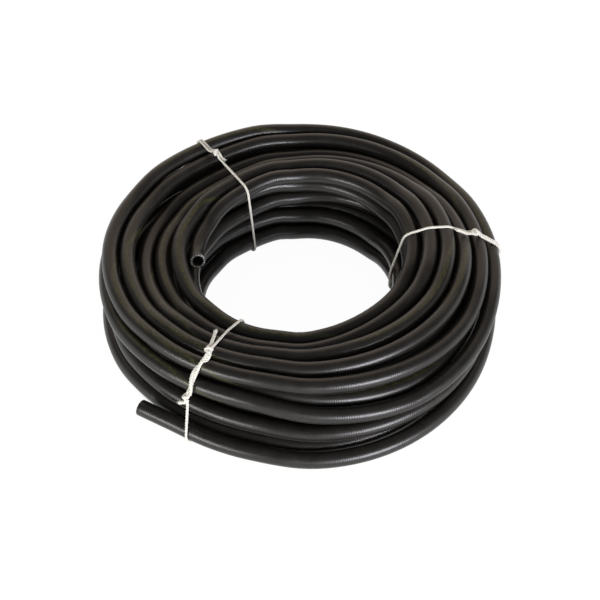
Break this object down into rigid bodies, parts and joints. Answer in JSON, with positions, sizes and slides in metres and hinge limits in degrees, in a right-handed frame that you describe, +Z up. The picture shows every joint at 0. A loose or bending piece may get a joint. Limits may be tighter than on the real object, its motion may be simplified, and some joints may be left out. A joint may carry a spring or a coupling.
{
  "type": "coiled rubber hose",
  "caption": "Bare coil of plain black rubber hose, piled in layers and held by white string ties, with one end in the eye and the other at the front.",
  "frame": {"origin": "centre of the coil's box, on the floor it lies on", "axes": "+Z up along the coil's axis; -Y is the front, towards the camera of the picture; +X is the camera's right"},
  "size_m": [0.4912, 0.5138, 0.1115],
  "materials": {
    "black_rubber": "satin",
    "cotton_string": "matte",
    "reinforcing_yarn": "matte"
  },
  "bodies": {
    "root": {"hose": "black_rubber", "inner_end_yarns": "reinforcing_yarn", "outer_end_yarns": "reinforcing_yarn", "tie_right": "cotton_string", "tie_back_left": "cotton_string", "tie_front_left": "cotton_string"}
  },
  "joints": []
}
